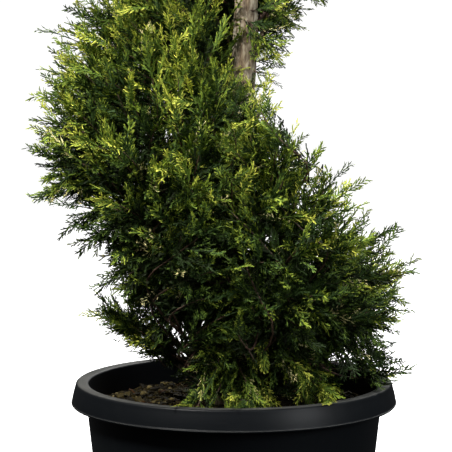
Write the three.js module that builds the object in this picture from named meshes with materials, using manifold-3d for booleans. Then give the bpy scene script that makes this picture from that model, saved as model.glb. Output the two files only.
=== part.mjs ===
// Spiral topiary: one clipped evergreen shrub on a single trunk, grown in a round plastic nursery pot.
// Millimetres, +Z up. The origin is the centre of the pot's flat underside.
import * as THREE from "three";
import { mergeVertices } from "three/addons/utils/BufferGeometryUtils.js";
import Module from "manifold-3d";

const wasm = await Module();
wasm.setup();

// Driving dimensions
const POT_HEIGHT = 400;
const POT_FOOT_RADIUS = 167;
const POT_NECK_RADIUS = 205; // body, just under the rim
const RIM_RADIUS = 227; // widest, at the rim's lower edge
const RIM_TOP_RADIUS = 221;
const RIM_DEPTH = 31;
const MOUTH_RADIUS = 202;
const WALL = 5;
const POT_SIDES = 64;
const SOIL_DEPTH = 32; // from the rim's top down to the potting mix
const GROUND = POT_HEIGHT - SOIL_DEPTH;
const PLANT_TIP = POT_HEIGHT + 1650;
const TRUNK_TIP = PLANT_TIP - 45;
const TRUNK_BASE_RADIUS = 24;
const TRUNK_TIP_RADIUS = 2.5;
const TRUNK_BOW = 9; // of its lowest third, to the left
const TRUNK_LEAN = 17; // to the right over its lower half
const TRUNK_LEAN_BACK = 12; // and back again towards the tip
const FLARE_HEIGHT = 28;
const FLARE_SHARE = 0.38; // of the trunk's radius
const FLARE_LOBES = 0.13;
const WIDEST_RADIUS = 280; // of the clipped outline
const WIDEST_HEIGHT = POT_HEIGHT + 350;
const SKIRT_RADIUS = 214; // of the clipped outline, at the height of the rim
const OUTLINE_POWER = 1.35;
const FIRST_TURN = -0.2; // turns are counted clockwise from above, from the +X side
const LAST_TURN = 2.3;
const BAND_PIECES = 11;
const TIP_BASE = POT_HEIGHT + 1400; // the band ends here, under the tip cone's widest ring
const TIP_UNDERSIDE = 85; // the tip cone's foot draws in over this height
const GAP = 0.4; // left between neighbouring solids
const TRUNK_CLEARANCE = 1.5; // between the trunk's bark and the green masses round it

// The green band's lower and upper outer edges, as heights over the rim at a given turn
const BAND_RISE = 820;
const BAND_RISE_LOSS = 110;
const BAND_START_HEIGHT = 270; // at half a turn
const BAND_THICKNESS = 380;
const FRONT_DROOP = 46; // how much lower the band's lower edge hangs at the front than its even rise
const BAND_THICKNESS_LOSS = 84;
const EDGE_ROUNDING = 0.24; // of the band's thickness, taken off the clipped face at its edges
const FRONT_LEFT_ROUNDING = 0.4; // of that, kept along the lower edge from the front to the left
const SHOULDER_ROUNDING = 34; // more taken off the upper edge on the right, where the band starts
const DROOP_FADES = [0.25, 0.19]; // each: the turn from which, and over how many turns
const FRONT_LEFT_BEGINS = [0.13, 0.13];
const FRONT_LEFT_FADES = [0.52, 0.18];
const SHOULDER_FADES = [0.02, 0.2];
const UNDERSIDE_SLOPE = 0.4;
const TOP_SLOPE = 0.05;

const smooth = (x) => x * x * (3 - 2 * x);
const clamp = (x, low, high) => Math.min(high, Math.max(low, x));
const mix = (a, b, t) => a + (b - a) * t;
const ramp = (x, start, width) => smooth(clamp((x - start) / width, 0, 1));

function bandRise(turn) {
  const t = turn - 0.5;
  return POT_HEIGHT + BAND_START_HEIGHT + BAND_RISE * t - BAND_RISE_LOSS * t * t;
}

function bandLow(turn) {
  return bandRise(turn) - FRONT_DROOP * (1 - ramp(turn, ...DROOP_FADES));
}

function bandHigh(turn) {
  return bandRise(turn) + BAND_THICKNESS - BAND_THICKNESS_LOSS * turn;
}

// Radius of the clipped outline at a height: a teardrop, widest a little way up and pointed at the top
function outlineRadius(z) {
  if (z < WIDEST_HEIGHT) {
    const below = (WIDEST_HEIGHT - z) / (WIDEST_HEIGHT - POT_HEIGHT);
    return WIDEST_RADIUS - (WIDEST_RADIUS - SKIRT_RADIUS) * below ** 1.6;
  }
  const above = clamp((z - WIDEST_HEIGHT) / (PLANT_TIP - WIDEST_HEIGHT), 0, 1);
  return WIDEST_RADIUS * (1 - above ** OUTLINE_POWER);
}

// Low, wide waves that keep the clipped faces uneven
function unevenness(angle, z) {
  return (
    5 * Math.sin(3 * angle + z / 47) +
    4 * Math.sin(5 * angle - z / 31 + 1.3) +
    3 * Math.sin(8 * angle + z / 19 + 4.1)
  );
}

// The trunk's centreline: a slight bow, straight towards the top
function trunkCentre(z) {
  const up = clamp((z - GROUND) / (TRUNK_TIP - GROUND), 0, 1);
  const bow = Math.sin(Math.PI * Math.min(1, up * 3.4)) * (up < 1 / 3.4 ? -TRUNK_BOW : 0);
  const lean = TRUNK_LEAN * ramp(up, 0.06, 0.3) - TRUNK_LEAN_BACK * ramp(up, 0.4, 0.6);
  return new THREE.Vector2(bow + lean, 6 * Math.sin(5 * up));
}

// The trunk's radius in one direction, with its lobed root flare
function trunkRadius(z, angle) {
  const up = clamp((z - GROUND) / (TRUNK_TIP - GROUND), 0, 1);
  const flare = Math.exp(-Math.max(z - GROUND, 0) / FLARE_HEIGHT);
  const widening = flare * (FLARE_SHARE + FLARE_LOBES * Math.cos(5 * angle + 0.6));
  return mix(TRUNK_BASE_RADIUS, TRUNK_TIP_RADIUS, up) * (1 + widening);
}

// A closed surface over rings of points, each ring with the same count, with a fan at either end
function closedRings(rings) {
  const count = rings[0].length;
  const points = rings.flat();
  const faces = [];
  for (let i = 0; i + 1 < rings.length; i++)
    for (let j = 0; j < count; j++) {
      const a = i * count + j;
      const b = i * count + ((j + 1) % count);
      faces.push(a, b, b + count, a, b + count, a + count);
    }
  [0, rings.length - 1].forEach((ring, end) => {
    const middle = new THREE.Vector3();
    rings[ring].forEach((p) => middle.addScaledVector(p, 1 / count));
    const centre = points.push(middle) - 1;
    for (let j = 0; j < count; j++) {
      const a = ring * count + j;
      const b = ring * count + ((j + 1) % count);
      if (end) faces.push(centre, a, b);
      else faces.push(centre, b, a);
    }
  });
  return new THREE.BufferGeometry().setFromPoints(points).setIndex(faces);
}

function solidOf(geometry) {
  const bare = geometry.clone();
  bare.deleteAttribute("normal");
  bare.deleteAttribute("uv");
  const merged = mergeVertices(bare, 1e-3);
  return new wasm.Manifold(
    new wasm.Mesh({
      numProp: 3,
      vertProperties: new Float32Array(merged.attributes.position.array),
      triVerts: new Uint32Array(merged.index.array),
    }),
  );
}

function geometryOf(solid) {
  const mesh = solid.getMesh();
  return new THREE.BufferGeometry()
    .setAttribute("position", new THREE.BufferAttribute(new Float32Array(mesh.vertProperties), 3))
    .setIndex(new THREE.BufferAttribute(new Uint32Array(mesh.triVerts), 1));
}

// The trunk, in level rings from the flat cut on the potting mix to its tip, with a lobed root flare.
// spare widens it all round, for the cut it leaves in the green masses.
function trunkGeometry(spare) {
  const sides = 16;
  const steps = 34;
  const rings = [];
  for (let i = 0; i <= steps; i++) {
    const up = (i / steps) ** 1.25;
    const z = mix(GROUND + GAP, TRUNK_TIP, up) + (i === steps ? spare : 0) - (i === 0 ? spare : 0);
    const centre = trunkCentre(z);
    const ring = [];
    for (let j = 0; j < sides; j++) {
      const angle = (2 * Math.PI * j) / sides;
      const r = trunkRadius(z, angle) + spare;
      ring.push(new THREE.Vector3(centre.x + r * Math.cos(angle), centre.y + r * Math.sin(angle), z));
    }
    rings.push(ring);
  }
  return closedRings(rings);
}

// A closed solid round a smooth curve through a few points, with its radius given at each step
function alongCurve(places, sides, steps, radiusAt) {
  const curve = new THREE.CatmullRomCurve3(places.map((p) => new THREE.Vector3(...p)));
  const frames = curve.computeFrenetFrames(steps, false);
  const rings = [];
  for (let i = 0; i <= steps; i++) {
    const r = radiusAt(i / steps, i);
    const centre = curve.getPointAt(i / steps);
    const ring = [];
    for (let j = 0; j < sides; j++) {
      const angle = (2 * Math.PI * j) / sides;
      const p = centre.clone();
      p.addScaledVector(frames.normals[i], r * Math.cos(angle));
      p.addScaledVector(frames.binormals[i], r * Math.sin(angle));
      ring.push(p);
    }
    rings.push(ring);
  }
  return closedRings(rings);
}

// One tapering limb
function limbGeometry(places, baseRadius, endRadius) {
  return alongCurve(places, 8, 10, (along) => mix(baseRadius, endRadius, along));
}

// A loose, unclipped spray: an uneven spindle
function spraySpindleGeometry(places, thickness) {
  const spindle = (along) => thickness * (0.16 + 0.84 * Math.sin(Math.PI * along ** 0.8));
  return alongCurve(places, 9, 9, (along, i) => spindle(along) * (1 + 0.1 * Math.sin(5 * i)));
}

// The band's section at one turn: from the bark out along the underside, up the clipped face and back
function bandSection(turn) {
  const angle = -2 * Math.PI * turn;
  const low = Math.max(bandLow(turn), POT_HEIGHT + 9);
  const high = Math.min(bandHigh(turn), TIP_BASE - GAP);
  const facePoints = 9;
  const innerPoints = 6;
  const outward = new THREE.Vector2(Math.cos(angle), Math.sin(angle));
  const section = [];
  const place = (r, z) => {
    const centre = trunkCentre(z);
    section.push(new THREE.Vector3(centre.x + r * outward.x, centre.y + r * outward.y, z));
  };
  const inner = (z) => trunkRadius(z, angle) + TRUNK_CLEARANCE;
  const reach = outlineRadius((low + high) / 2);
  const innerLow = Math.max(low - UNDERSIDE_SLOPE * reach, GROUND + 16);
  const innerHigh = Math.min(high + TOP_SLOPE * reach, TIP_BASE - GAP);
  const edge = Math.min(EDGE_ROUNDING * (high - low), 0.3 * reach);
  const frontLeft = ramp(turn, ...FRONT_LEFT_BEGINS) * (1 - ramp(turn, ...FRONT_LEFT_FADES));
  const lowEdge = edge * mix(1, FRONT_LEFT_ROUNDING, frontLeft);
  const highEdge = edge + SHOULDER_ROUNDING * (1 - ramp(turn, ...SHOULDER_FADES));
  for (let i = 0; i < facePoints; i++) {
    const up = i / (facePoints - 1);
    const z = mix(low, high, up);
    const rounding = up < 0.5 ? lowEdge * (1 - 2 * up) ** 3.4 : highEdge * (2 * up - 1) ** 2.4;
    const r = outlineRadius(z) - rounding + unevenness(angle, z) * Math.min(1, reach / 150);
    if (i === 0) place(mix(inner(innerLow), r, 0.5), mix(innerLow, z, 0.5));
    place(r, z);
    if (i === facePoints - 1) place(mix(inner(innerHigh), r, 0.5), mix(innerHigh, z, 0.5));
  }
  for (let i = 0; i < innerPoints; i++) {
    const z = mix(innerHigh, innerLow, i / (innerPoints - 1));
    place(inner(z), z);
  }
  return section;
}

// One piece of the band, between two turns, cut back at both ends by the gap
function bandPieceGeometry(start, end) {
  const steps = 8;
  const rings = [];
  for (let i = 0; i <= steps; i++) {
    const turn = mix(start, end, i / steps);
    const angle = -2 * Math.PI * turn;
    const inset = i === 0 ? GAP / 2 : i === steps ? -GAP / 2 : 0;
    const along = new THREE.Vector3(Math.sin(angle) * inset, -Math.cos(angle) * inset, 0);
    rings.push(bandSection(turn).map((p) => p.add(along)));
  }
  return closedRings(rings);
}

// The point of the plant: an uneven flame whose foot draws in to the trunk, closed over the trunk's tip
function tipGeometry() {
  const sides = 20;
  const heights = [0, 0.1, 0.2, 0.34, 0.48, 0.62, 0.76, 0.88, 1];
  const rings = heights.map((up) => {
    const z = mix(TIP_BASE, PLANT_TIP, up);
    const centre = trunkCentre(z);
    const foot = mix(0.38, 1, ramp(z, TIP_BASE, TIP_UNDERSIDE));
    const belly = 1 + 0.3 * Math.sin(Math.PI * up ** 0.7);
    const ring = [];
    for (let j = 0; j < sides; j++) {
      const angle = (2 * Math.PI * j) / sides;
      const wave = 1 + 0.06 * Math.sin(3 * angle + z / 20);
      const r = Math.max(outlineRadius(z) * foot * belly * wave, 3);
      ring.push(new THREE.Vector3(centre.x + r * Math.cos(angle), centre.y + r * Math.sin(angle), z));
    }
    return ring;
  });
  return closedRings(rings);
}

// A lathed piece about +Z from its profile of radius and height
function lathed(profile) {
  const points = profile.map(([r, z]) => new THREE.Vector2(r, z));
  return new THREE.LatheGeometry(points, POT_SIDES).rotateX(Math.PI / 2);
}

function innerRadius(z) {
  return mix(POT_FOOT_RADIUS - WALL, MOUTH_RADIUS - 1, z / POT_HEIGHT);
}

function potGeometry() {
  const rimLow = POT_HEIGHT - RIM_DEPTH;
  return lathed([
    [0, 0],
    [POT_FOOT_RADIUS - 6, 0],
    [POT_FOOT_RADIUS - 1.5, 2],
    [POT_FOOT_RADIUS, 7],
    [mix(POT_FOOT_RADIUS, POT_NECK_RADIUS, 0.5), rimLow / 2],
    [POT_NECK_RADIUS, rimLow],
    [RIM_RADIUS - 3, rimLow],
    [RIM_RADIUS, rimLow + 3],
    [mix(RIM_RADIUS, RIM_TOP_RADIUS, 0.5) + 0.5, POT_HEIGHT - RIM_DEPTH * 0.5],
    [RIM_TOP_RADIUS, POT_HEIGHT - 4.5],
    [RIM_TOP_RADIUS - 1.5, POT_HEIGHT - 1.2],
    [RIM_TOP_RADIUS - 4.5, POT_HEIGHT],
    [MOUTH_RADIUS + 3, POT_HEIGHT - 0.4],
    [MOUTH_RADIUS, POT_HEIGHT - 3],
    [innerRadius(POT_HEIGHT / 2), POT_HEIGHT / 2],
    [innerRadius(WALL), WALL],
    [0, WALL],
  ]);
}

// The potting mix fills the pot to under the rim. Its top is lumpy, and level where the trunk stands.
function soilGeometry() {
  const level = GROUND;
  const fit = (z) => innerRadius(z) - 1.2;
  const geometry = lathed([
    [0, WALL + GAP],
    [fit(WALL), WALL + GAP],
    [fit(level / 2), level / 2],
    [fit(level - 4), level - 4],
    [fit(level) - 22, level - 1],
    [fit(level) - 62, level - 1],
    [fit(level) - 104, level - 1],
    [52, level],
    [0, level],
  ]);
  const place = geometry.attributes.position;
  for (let i = 0; i < place.count; i++) {
    const [x, y, z] = [place.getX(i), place.getY(i), place.getZ(i)];
    if (z < level - 2 || Math.hypot(x, y) < 60) continue;
    place.setZ(i, z - 2 + 2 * Math.sin(x / 21) * Math.cos(y / 26) + Math.sin((x + y) / 11));
  }
  return geometry;
}

const material = (r, g, b, roughness) =>
  new THREE.MeshStandardMaterial({ color: new THREE.Color(r, g, b), roughness, metalness: 0 });
const foliage = material(0.09, 0.16, 0.03, 0.7);
const bark = material(0.26, 0.19, 0.15, 0.9);
const plastic = material(0.025, 0.03, 0.037, 0.45);
const mixture = material(0.09, 0.06, 0.04, 0.95);

const topiary = new THREE.Group();

function addMesh(name, geometry, finish) {
  const mesh = new THREE.Mesh(geometry, finish);
  mesh.name = name;
  topiary.add(mesh);
}

addMesh("pot", potGeometry(), plastic);
addMesh("potting_mix", soilGeometry(), mixture);
addMesh("trunk", trunkGeometry(0), bark);

const masses = [];
for (let i = 0; i < BAND_PIECES; i++) {
  const start = mix(FIRST_TURN, LAST_TURN, i / BAND_PIECES);
  const end = mix(FIRST_TURN, LAST_TURN, (i + 1) / BAND_PIECES);
  const mass = bandPieceGeometry(start, end);
  masses.push(solidOf(mass));
  addMesh("foliage_band_" + String(i + 1).padStart(2, "0"), mass, foliage);
}
const trunkHole = solidOf(trunkGeometry(GAP + 0.6));
addMesh("foliage_tip", geometryOf(solidOf(tipGeometry()).subtract(trunkHole)), foliage);

// The loose sprays that hang clear of the clipped band, low on the left
const lowSpray = solidOf(
  spraySpindleGeometry(
    [
      [-84, -8, POT_HEIGHT + 38],
      [-142, -14, POT_HEIGHT + 78],
      [-206, -18, POT_HEIGHT + 118],
    ],
    20,
  ),
);
addMesh("foliage_low_spray", geometryOf(lowSpray), foliage);

// A limb is cut off just short of the mass that it enters
function addLimb(name, places, baseRadius, endRadius, entered) {
  const [from, to] = places.slice(-2).map((p) => new THREE.Vector3(...p));
  const back = from.sub(to).normalize().multiplyScalar(1.2);
  const limb = solidOf(limbGeometry(places, baseRadius, endRadius));
  const parts = limb.subtract(entered.translate(back.toArray())).subtract(trunkHole).decompose();
  parts.sort((a, b) => b.volume() - a.volume());
  addMesh(name, geometryOf(parts[0]), bark);
}

addLimb(
  "side_stem",
  [
    [-14, 8, GROUND + 22],
    [-44, -4, GROUND + 52],
    [-53, -16, GROUND + 120],
    [-56, -20, GROUND + 260],
  ],
  8,
  6,
  masses[2],
);
addLimb(
  "low_bough",
  [
    [-20, -6, GROUND + 16],
    [-52, -8, GROUND + 38],
    [-88, -9, GROUND + 62],
    [-142, -14, POT_HEIGHT + 78],
  ],
  4.5,
  2.5,
  lowSpray,
);
addLimb(
  "upper_bough",
  [
    [12, 6, POT_HEIGHT + 430],
    [36, 9, POT_HEIGHT + 474],
    [60, 12, POT_HEIGHT + 530],
    [84, 14, POT_HEIGHT + 590],
  ],
  5.5,
  4,
  masses[5],
);

export default topiary;
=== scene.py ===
"""Spiral topiary in its pot: the looks of its pot, potting mix, bark and foliage, built on the CAD frame."""

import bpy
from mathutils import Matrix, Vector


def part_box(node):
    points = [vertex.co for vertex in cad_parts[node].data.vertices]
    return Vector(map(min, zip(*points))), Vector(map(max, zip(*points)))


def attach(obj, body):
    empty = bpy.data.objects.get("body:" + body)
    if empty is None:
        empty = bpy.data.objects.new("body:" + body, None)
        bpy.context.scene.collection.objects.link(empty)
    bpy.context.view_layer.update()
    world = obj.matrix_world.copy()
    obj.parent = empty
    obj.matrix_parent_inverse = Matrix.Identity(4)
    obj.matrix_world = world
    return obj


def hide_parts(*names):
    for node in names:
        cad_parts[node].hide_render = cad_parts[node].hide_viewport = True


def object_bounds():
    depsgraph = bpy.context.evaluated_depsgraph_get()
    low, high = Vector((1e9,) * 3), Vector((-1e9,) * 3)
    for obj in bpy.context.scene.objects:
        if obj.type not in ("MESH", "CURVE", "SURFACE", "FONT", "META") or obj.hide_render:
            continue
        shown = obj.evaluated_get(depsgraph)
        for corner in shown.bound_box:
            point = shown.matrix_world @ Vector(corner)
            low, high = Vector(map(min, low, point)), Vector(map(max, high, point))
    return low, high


bl_info = {
    "name": "Spiral topiary in a nursery pot",
    "version": (1, 0, 0),
    "blender": (4, 5, 0),
    "location": "View3D > Sidebar > Topiary",
    "description": "Builds a clipped evergreen spiral, its pot, potting mix, bark and sprays of shoots",
    "category": "Object",
}

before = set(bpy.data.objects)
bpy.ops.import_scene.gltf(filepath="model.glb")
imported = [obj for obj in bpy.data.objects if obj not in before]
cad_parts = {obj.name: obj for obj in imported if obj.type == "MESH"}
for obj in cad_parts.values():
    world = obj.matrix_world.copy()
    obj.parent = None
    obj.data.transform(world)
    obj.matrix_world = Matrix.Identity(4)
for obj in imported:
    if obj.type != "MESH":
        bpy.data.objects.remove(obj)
cad_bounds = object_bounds()

import math

import bpy
import numpy as np
from bpy.props import FloatProperty, FloatVectorProperty, IntProperty, PointerProperty
from mathutils import Vector
from mathutils.bvhtree import BVHTree

BODY = "root"
MASS_NODES = sorted(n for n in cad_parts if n.startswith("foliage_"))
POT_LOW, POT_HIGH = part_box("pot")
RIM_Z = POT_HIGH.z
RIM_RADIUS = POT_HIGH.x
MIX_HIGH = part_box("potting_mix")[1]
MIX_RADIUS = MIX_HIGH.x
GROUND_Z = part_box("trunk")[0].z
TIP_Z = cad_bounds[1][2]
BOX_LOW, BOX_HIGH = np.array(cad_bounds[0]), np.array(cad_bounds[1])
UP = np.array([0.0, 0.0, 1.0])

# The boughs that show, and roughly the way that each one grows
BOUGH_WAYS = {
    "side_stem": (-0.05, -0.1, 1.0),
    "low_bough": (-0.85, 0.0, 0.5),
    "upper_bough": (0.42, 0.05, 0.9),
}
FLARE_HEIGHT = 0.028  # of the trunk's root flare
NOISE_COLUMNS = 257

# Kinds of triangle in a spray
TWIG, SHOOT, TIP, OUTER_SHOOT = range(4)
TONES = ("deep", "dark", "mid", "light", "gold", "cream")
LIGHT, GOLD, CREAM = 3, 4, 5
COARSE_SHOOTS = 6  # in a spray of the inner layers, dark with painted shade
COARSE_WIDTH = 2.3  # of those shoots, against an outer one
PLUME_TAIL = 0.95  # of a spray's length, by which a plume outreaches its leader
SHORTEST_PLUME = 0.67  # anything smaller is grown as a sprig
SPACING_SHARES = {"foliage_low_spray": 0.8, "foliage_tip": 0.84}
LOW_SPRAY_PLUMES = 19
LOW_SPRAY_WAY = (-0.9, 0.0, 0.42)
OPEN_CORNER = (-0.105, -0.025, 0.11)  # least and greatest X, and height over the rim
BARE_TRUNK = 0.03  # plumes that start nearer than this to the bark need no branchlet
BOX_MARGIN = 0.016  # how far shoots may stand out past the solids' box
MOUTH_RADIUS = 0.88 * RIM_RADIUS
OVER_RIM, OVER_MIX = 0.0025, 0.004  # where the lowest shoots lie


# ---------------------------------------------------------------- settings


def colour_property(name, description, default):
    return FloatVectorProperty(
        name=name, description=description, default=default, size=3, min=0.0, max=1.0, subtype="COLOR"
    )


def length_property(name, description, default):
    return FloatProperty(name=name, description=description, default=default, unit="LENGTH")


def count_property(name, description, default, least=0):
    return IntProperty(name=name, description=description, default=default, min=least)


class PotSettings(bpy.types.PropertyGroup):
    lip_radius: length_property("Lip radius", "Rounding of the rim's upper edge", 0.0042)
    sides: count_property("Sides", "Faces round the pot", 160, 24)
    colour: colour_property("Plastic", "Base colour of the moulded plastic", (0.004, 0.005, 0.0062))
    dust: colour_property("Dust", "Colour of the dust and scuffs on the plastic", (0.13, 0.13, 0.12))


class MixSettings(bpy.types.PropertyGroup):
    chips: count_property("Bark chips", "Number of loose bark chips", 3000)
    pebbles: count_property("Pebbles", "Number of small stones", 150)
    dark: colour_property("Damp mix", "Colour of the damp mix", (0.0058, 0.0043, 0.001))
    pale: colour_property("Dry mix", "Colour of dry fibres in the mix", (0.028, 0.021, 0.0045))
    chip_dark: colour_property("Dark bark", "Colour of dark chips", (0.007, 0.005, 0.0012))
    chip_pale: colour_property("Pale bark", "Colour of pale chips", (0.03, 0.022, 0.005))
    chip_red: colour_property("Red bark", "Colour of reddish chips", (0.03, 0.013, 0.0032))
    chip_grey: colour_property("Grey bark", "Colour of weathered chips", (0.034, 0.03, 0.012))
    stone: colour_property("Stone", "Colour of the small stones", (0.1, 0.078, 0.03))


class BarkSettings(bpy.types.PropertyGroup):
    relief: length_property("Relief", "Depth of the furrows between strips", 0.0021)
    furrow: colour_property("Furrow", "Colour deep between the strips", (0.05, 0.03, 0.022))
    strip: colour_property("Strip", "Colour of the stringy strips", (0.24, 0.193, 0.136))
    weathered: colour_property("Weathered", "Colour of pale, weathered strips", (0.51, 0.475, 0.375))
    twig: colour_property("Twig", "Colour of young reddish twigs", (0.055, 0.026, 0.013))


class FoliageSettings(bpy.types.PropertyGroup):
    spacing: length_property("Plume spacing", "Distance between neighbouring plumes", 0.0297)
    plume_length: length_property("Plume leader", "Length of the twig that carries a plume", 0.078)
    sprig_length: length_property("Sprig leader", "Length of the twig that carries a sprig", 0.026)
    spray_length: length_property("Spray length", "Length of one feathery spray", 0.052)
    shoot_width: length_property("Shoot width", "Width of one scaly shoot", 0.0026)
    templates: count_property("Plume shapes", "Number of different plumes", 22, 1)
    sprigs: count_property("Sprig shapes", "Number of different short sprigs", 12, 1)
    # Deep and dark are partly painted shade, dealt to the inner layers and to sprays inside and low down;
    # light is partly painted light, dealt to sprays on top and higher up
    deep: colour_property("Deep", "Shoots deep inside", (0.009, 0.016, 0.003))
    dark: colour_property("Dark", "Dark green shoots", (0.0225, 0.046, 0.0095))
    mid: colour_property("Middle", "Middle green shoots", (0.094, 0.153, 0.021))
    light: colour_property("Light", "Light green shoots", (0.26, 0.325, 0.036))
    gold: colour_property("Gold", "Yellow-green tips", (0.6, 0.61, 0.095))
    cream: colour_property("Cream", "Pale cream tips", (0.78, 0.7, 0.33))


class StageSettings(bpy.types.PropertyGroup):
    distance: length_property("Distance", "Camera distance in front", 3.0)
    height: length_property("Eye height", "Camera height over the floor", 0.93)
    aim_side: length_property("Aim to the side", "Aim point's X", -0.011)
    aim_height: length_property("Aim height", "Aim point's height", 0.617)
    lens: FloatProperty(name="Lens", description="Focal length in millimetres", default=173.0, min=10.0)
    floor: colour_property("Floor", "Colour of the pale floor", (0.86, 0.86, 0.86))


# ---------------------------------------------------------------- meshes


def triangle_object(name, points, triangles, slots=None, smooth=False):
    """An object from arrays of points, triangles and material indices."""
    mesh = bpy.data.meshes.new(name)
    mesh.vertices.add(len(points))
    mesh.vertices.foreach_set("co", np.asarray(points, np.float32).ravel())
    mesh.loops.add(triangles.size)
    mesh.loops.foreach_set("vertex_index", np.asarray(triangles, np.int32).ravel())
    mesh.polygons.add(len(triangles))
    mesh.polygons.foreach_set("loop_start", np.arange(0, triangles.size, 3, dtype=np.int32))
    if slots is not None:
        mesh.polygons.foreach_set("material_index", np.asarray(slots, np.int32))
    mesh.polygons.foreach_set("use_smooth", np.full(len(triangles), smooth))
    mesh.update(calc_edges=True)
    piece = bpy.data.objects.new(name, mesh)
    bpy.context.scene.collection.objects.link(piece)
    return piece


def hand_over(piece, slot, *nodes):
    """Ties a finished piece to the frame."""
    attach(piece, BODY)
    if nodes:
        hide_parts(*nodes)


def grid_triangles(rows, columns):
    """Triangles between rows of points, each row a closed ring with a point to each column."""
    row, column = np.meshgrid(np.arange(rows - 1), np.arange(columns), indexing="ij")
    a = row * columns + column
    b = row * columns + (column + 1) % columns
    quads = np.stack([a, b, b + columns, a, b + columns, a + columns], -1)
    return quads.reshape(-1, 3)


def unit(vectors):
    return vectors / np.maximum(np.linalg.norm(vectors, axis=-1, keepdims=True), 1e-12)


def turned(along, flat):
    """Rotation matrices whose columns are along, across and a normal near flat."""
    along = unit(along)
    across = unit(np.cross(flat, along))
    return np.stack([along, across, np.cross(along, across)], -1)


def tubes(lines, radii, sides):
    """Tapering tubes, open at both ends, along lines with the same count of points. Points and triangles."""
    count, steps = lines.shape[:2]
    along = unit(np.gradient(lines, axis=1))
    reference = np.where(np.abs(along[:, :1, 2:3]) > 0.8, [[[1.0, 0.0, 0.0]]], [[[0.0, 0.0, 1.0]]])
    across = unit(np.cross(along, np.broadcast_to(reference, along.shape)))
    other = np.cross(along, across)
    angle = np.linspace(0, 2 * math.pi, sides, endpoint=False)
    ring = (
        across[:, :, None] * np.cos(angle)[None, None, :, None]
        + other[:, :, None] * np.sin(angle)[None, None, :, None]
    )
    points = lines[:, :, None] + ring * radii[:, :, None, None]
    shell = grid_triangles(steps, sides)
    triangles = shell[None] + (np.arange(count) * steps * sides)[:, None, None]
    return points.reshape(-1, 3), triangles.reshape(-1, 3)


class Heap:
    """Gathers points, triangles and material indices of many small meshes."""

    def __init__(self):
        self.points, self.triangles, self.slots, self.count = [], [], [], 0

    def add(self, points, triangles, slots=0):
        self.points.append(points)
        self.triangles.append(triangles + self.count)
        self.slots.append(np.broadcast_to(slots, len(triangles)))
        self.count += len(points)

    def joined(self):
        return np.concatenate(self.points), np.concatenate(self.triangles), np.concatenate(self.slots)


def value_noise(u, v, cells, seed):
    """Smooth noise from 0 to 1, with a value to each unit of u and v. It repeats after cells units of u."""
    table = np.random.default_rng(seed).random((cells, NOISE_COLUMNS))
    u0, v0 = np.floor(u).astype(int), np.floor(v).astype(int)
    fu, fv = u - u0, v - v0
    fu, fv = fu * fu * (3 - 2 * fu), fv * fv * (3 - 2 * fv)

    def at(i, j):
        return table[i % cells, j % NOISE_COLUMNS]

    low = at(u0, v0) * (1 - fu) + at(u0 + 1, v0) * fu
    high = at(u0, v0 + 1) * (1 - fu) + at(u0 + 1, v0 + 1) * fu
    return low * (1 - fv) + high * fv


# ---------------------------------------------------------------- what the frame says


def node_arrays(node):
    """A node's points and triangles."""
    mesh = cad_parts[node].data
    points = np.zeros(len(mesh.vertices) * 3, np.float32)
    mesh.vertices.foreach_get("co", points)
    mesh.calc_loop_triangles()
    triangles = np.zeros(len(mesh.loop_triangles) * 3, np.int32)
    mesh.loop_triangles.foreach_get("vertices", triangles)
    return points.reshape(-1, 3).astype(float), triangles.reshape(-1, 3)


def centreline(node, along, count):
    """Centres and mean radii of a limb, cut by planes square to the direction along."""
    points, triangles = node_arrays(node)
    along = np.array(along, float) / np.linalg.norm(along)
    height = points @ along
    edges = np.concatenate([triangles[:, [0, 1]], triangles[:, [1, 2]], triangles[:, [2, 0]]])
    a, b = edges[:, 0], edges[:, 1]
    margin = 0.004
    cuts = np.linspace(height.min() + margin, height.max() - margin, count)
    centres, radii = [], []
    for cut in cuts:
        over = (height[a] - cut) * (height[b] - cut) < 0
        share = (cut - height[a[over]]) / (height[b[over]] - height[a[over]])
        ring = points[a[over]] + (points[b[over]] - points[a[over]]) * share[:, None]
        centre = (ring.min(0) + ring.max(0)) / 2
        centres.append(centre)
        radii.append(np.linalg.norm(ring - centre, axis=1).mean())
    return np.array(centres), np.array(radii)


def rim_underside():
    """Height of the lower edge of the pot's rim."""
    points, _ = node_arrays("pot")
    away = np.hypot(points[:, 0], points[:, 1])
    return points[away > 0.97 * RIM_RADIUS, 2].min()


RIM_LOW_Z = rim_underside()
TRUNK_CENTRES, TRUNK_RADII = centreline("trunk", (0, 0, 1), 60)


def trunk_at(z):
    """The trunk's centre and radius at any heights."""
    known = TRUNK_CENTRES[:, 2]
    x, y = (np.interp(z, known, TRUNK_CENTRES[:, k]) for k in (0, 1))
    return np.stack([x, y, z], -1), np.interp(z, known, TRUNK_RADII)


def trunk_centre(z):
    """The trunk's centre at one height."""
    return trunk_at(np.array([z]))[0][0]


# ---------------------------------------------------------------- materials


def new_material(name):
    """A new material, its node tree and its shader."""
    material = bpy.data.materials.new(name)
    material.use_nodes = True
    return material, material.node_tree, material.node_tree.nodes["Principled BSDF"]


def feed(tree, node, inputs):
    """Links a node's inputs to the outputs given for them, and sets the rest to the constants given."""
    for key, value in inputs.items():
        if isinstance(value, bpy.types.NodeSocket):
            tree.links.new(value, node.inputs[key])
        else:
            node.inputs[key].default_value = value


def output_of(tree, kind, output, inputs=None, **settings):
    """Adds a node and returns one of its outputs."""
    node = tree.nodes.new(kind)
    for key, value in settings.items():
        setattr(node, key, value)
    feed(tree, node, inputs or {})
    return node.outputs[output]


def place_on_piece(tree):
    return output_of(tree, "ShaderNodeTexCoord", "Object")


def stretched(tree, place, scale):
    return output_of(tree, "ShaderNodeMapping", "Vector", {"Vector": place, "Scale": scale})


def noise_at(tree, place, scale, detail, roughness=0.5, distortion=0.0):
    inputs = {"Vector": place, "Scale": scale, "Detail": detail}
    inputs |= {"Roughness": roughness, "Distortion": distortion}
    return output_of(tree, "ShaderNodeTexNoise", "Fac", inputs)


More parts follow.
